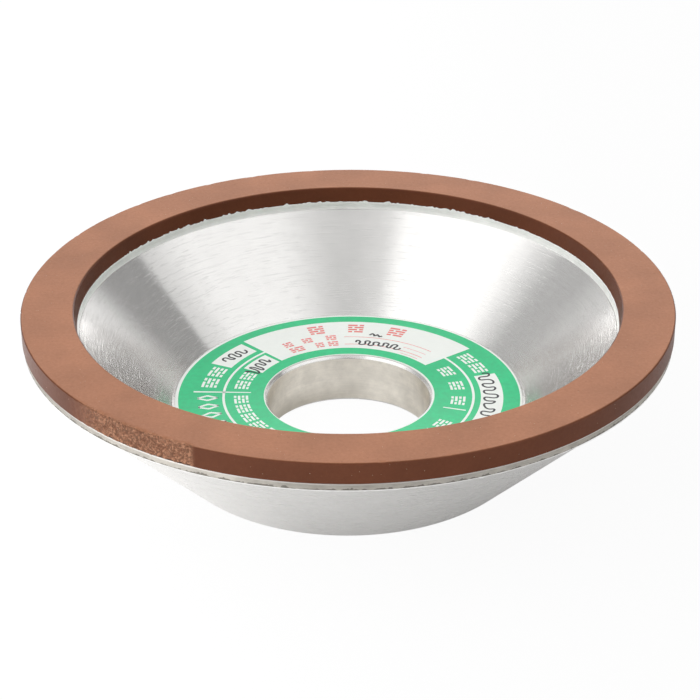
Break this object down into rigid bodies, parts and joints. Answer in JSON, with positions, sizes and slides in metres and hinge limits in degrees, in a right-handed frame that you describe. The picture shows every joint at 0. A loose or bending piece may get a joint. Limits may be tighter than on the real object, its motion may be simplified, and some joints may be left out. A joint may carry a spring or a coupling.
{
  "type": "diamond grinding wheel",
  "caption": "Flaring cup grinding wheel: a turned aluminium cup with slanted walls, a moulded resin and diamond ring on its rim, a paper label on its floor and a plain spindle bore.",
  "frame": {"origin": "centre of the spindle bore on the flat back face", "axes": "+Z along the spindle axis, from the back face towards the abrasive face"},
  "size_m": [0.125, 0.125, 0.032],
  "materials": {
    "turned_aluminium": "satin, fine turned rings inside the cup and in the bore, bright machined edges",
    "cured_bond": "dark cured phenolic adhesive, matt",
    "resin_diamond": "brown phenolic resin filled with diamond and mineral grit, dressed flat, matt, with fine pits",
    "label_glue": "clear dry label adhesive",
    "label_paper": "green print on white coated paper, semi-matt"
  },
  "bodies": {
    "root": {"wheel_body": "turned_aluminium", "ring_bond": "cured_bond", "abrasive_ring": "resin_diamond", "label_glue": "label_glue", "paper_label": "label_paper"}
  },
  "joints": []
}
